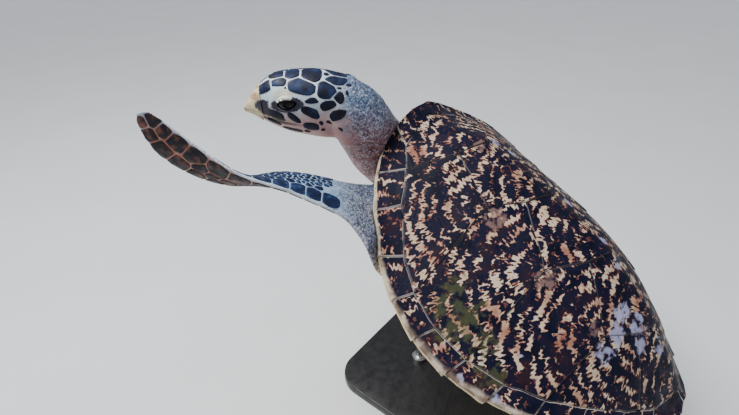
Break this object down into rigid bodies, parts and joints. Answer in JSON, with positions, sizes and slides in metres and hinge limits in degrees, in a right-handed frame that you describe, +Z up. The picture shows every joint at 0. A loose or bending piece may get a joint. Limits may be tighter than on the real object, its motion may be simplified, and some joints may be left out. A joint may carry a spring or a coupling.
{
  "type": "hawksbill sea turtle display model",
  "caption": "Life-size hawksbill sea turtle in a banking swim, head turned to its left and left flipper swept forward, held over a flat base by two rods.",
  "frame": {"origin": "middle of the underside of the stand's base", "axes": "+Z up, -Y the way the turtle heads, +X towards the turtle's left side"},
  "size_m": [0.8202, 0.6909, 0.7241],
  "materials": {
    "scute": "near-black horn with cream and orange streaks, worn satin",
    "margin": "near-black horn with cream streaks and a pale rim",
    "plastron": "cream-yellow horn, satin",
    "skin": "dark scales with pale seams, grey-blue above and cream to pinkish below",
    "head_skin": "blue-black plates with white seams",
    "beak": "yellowish horn, satin",
    "eye": "wet black",
    "claw": "horn",
    "stand": "satin black",
    "rod": "brushed"
  },
  "bodies": {
    "root": {"beak_lower": "beak", "beak_upper": "beak", "costal_left_1": "scute", "costal_left_2": "scute", "costal_left_3": "scute", "costal_left_4": "scute", "costal_right_1": "scute", "costal_right_2": "scute", "costal_right_3": "scute", "costal_right_4": "scute", "eye_left": "eye", "eye_right": "eye", "front_claw_left": "claw", "front_claw_right": "claw", "front_flipper_left": "skin", "front_flipper_right": "skin", "head": "head_skin", "hind_claw_left": "claw", "hind_claw_right": "claw", "hind_flipper_left": "skin", "hind_flipper_right": "skin", "jaw": "head_skin", "marginal_left_1": "margin", "marginal_left_10": "margin", "marginal_left_11": "margin", "marginal_left_2": "margin", "marginal_left_3": "margin", "marginal_left_4": "margin", "marginal_left_5": "margin", "marginal_left_6": "margin", "marginal_left_7": "margin", "marginal_left_8": "margin", "marginal_left_9": "margin", "marginal_right_1": "margin", "marginal_right_10": "margin", "marginal_right_11": "margin", "marginal_right_2": "margin", "marginal_right_3": "margin", "marginal_right_4": "margin", "marginal_right_5": "margin", "marginal_right_6": "margin", "marginal_right_7": "margin", "marginal_right_8": "margin", "marginal_right_9": "margin", "neck": "skin", "nuchal": "margin", "plastron": "plastron", "stand_base": "stand", "stand_rod_front": "rod", "stand_rod_rear": "rod", "supracaudal_left": "margin", "supracaudal_right": "margin", "tail": "skin", "trunk": "skin", "vertebral_1": "scute", "vertebral_2": "scute", "vertebral_3": "scute", "vertebral_4": "scute", "vertebral_5": "scute"}
  },
  "joints": []
}
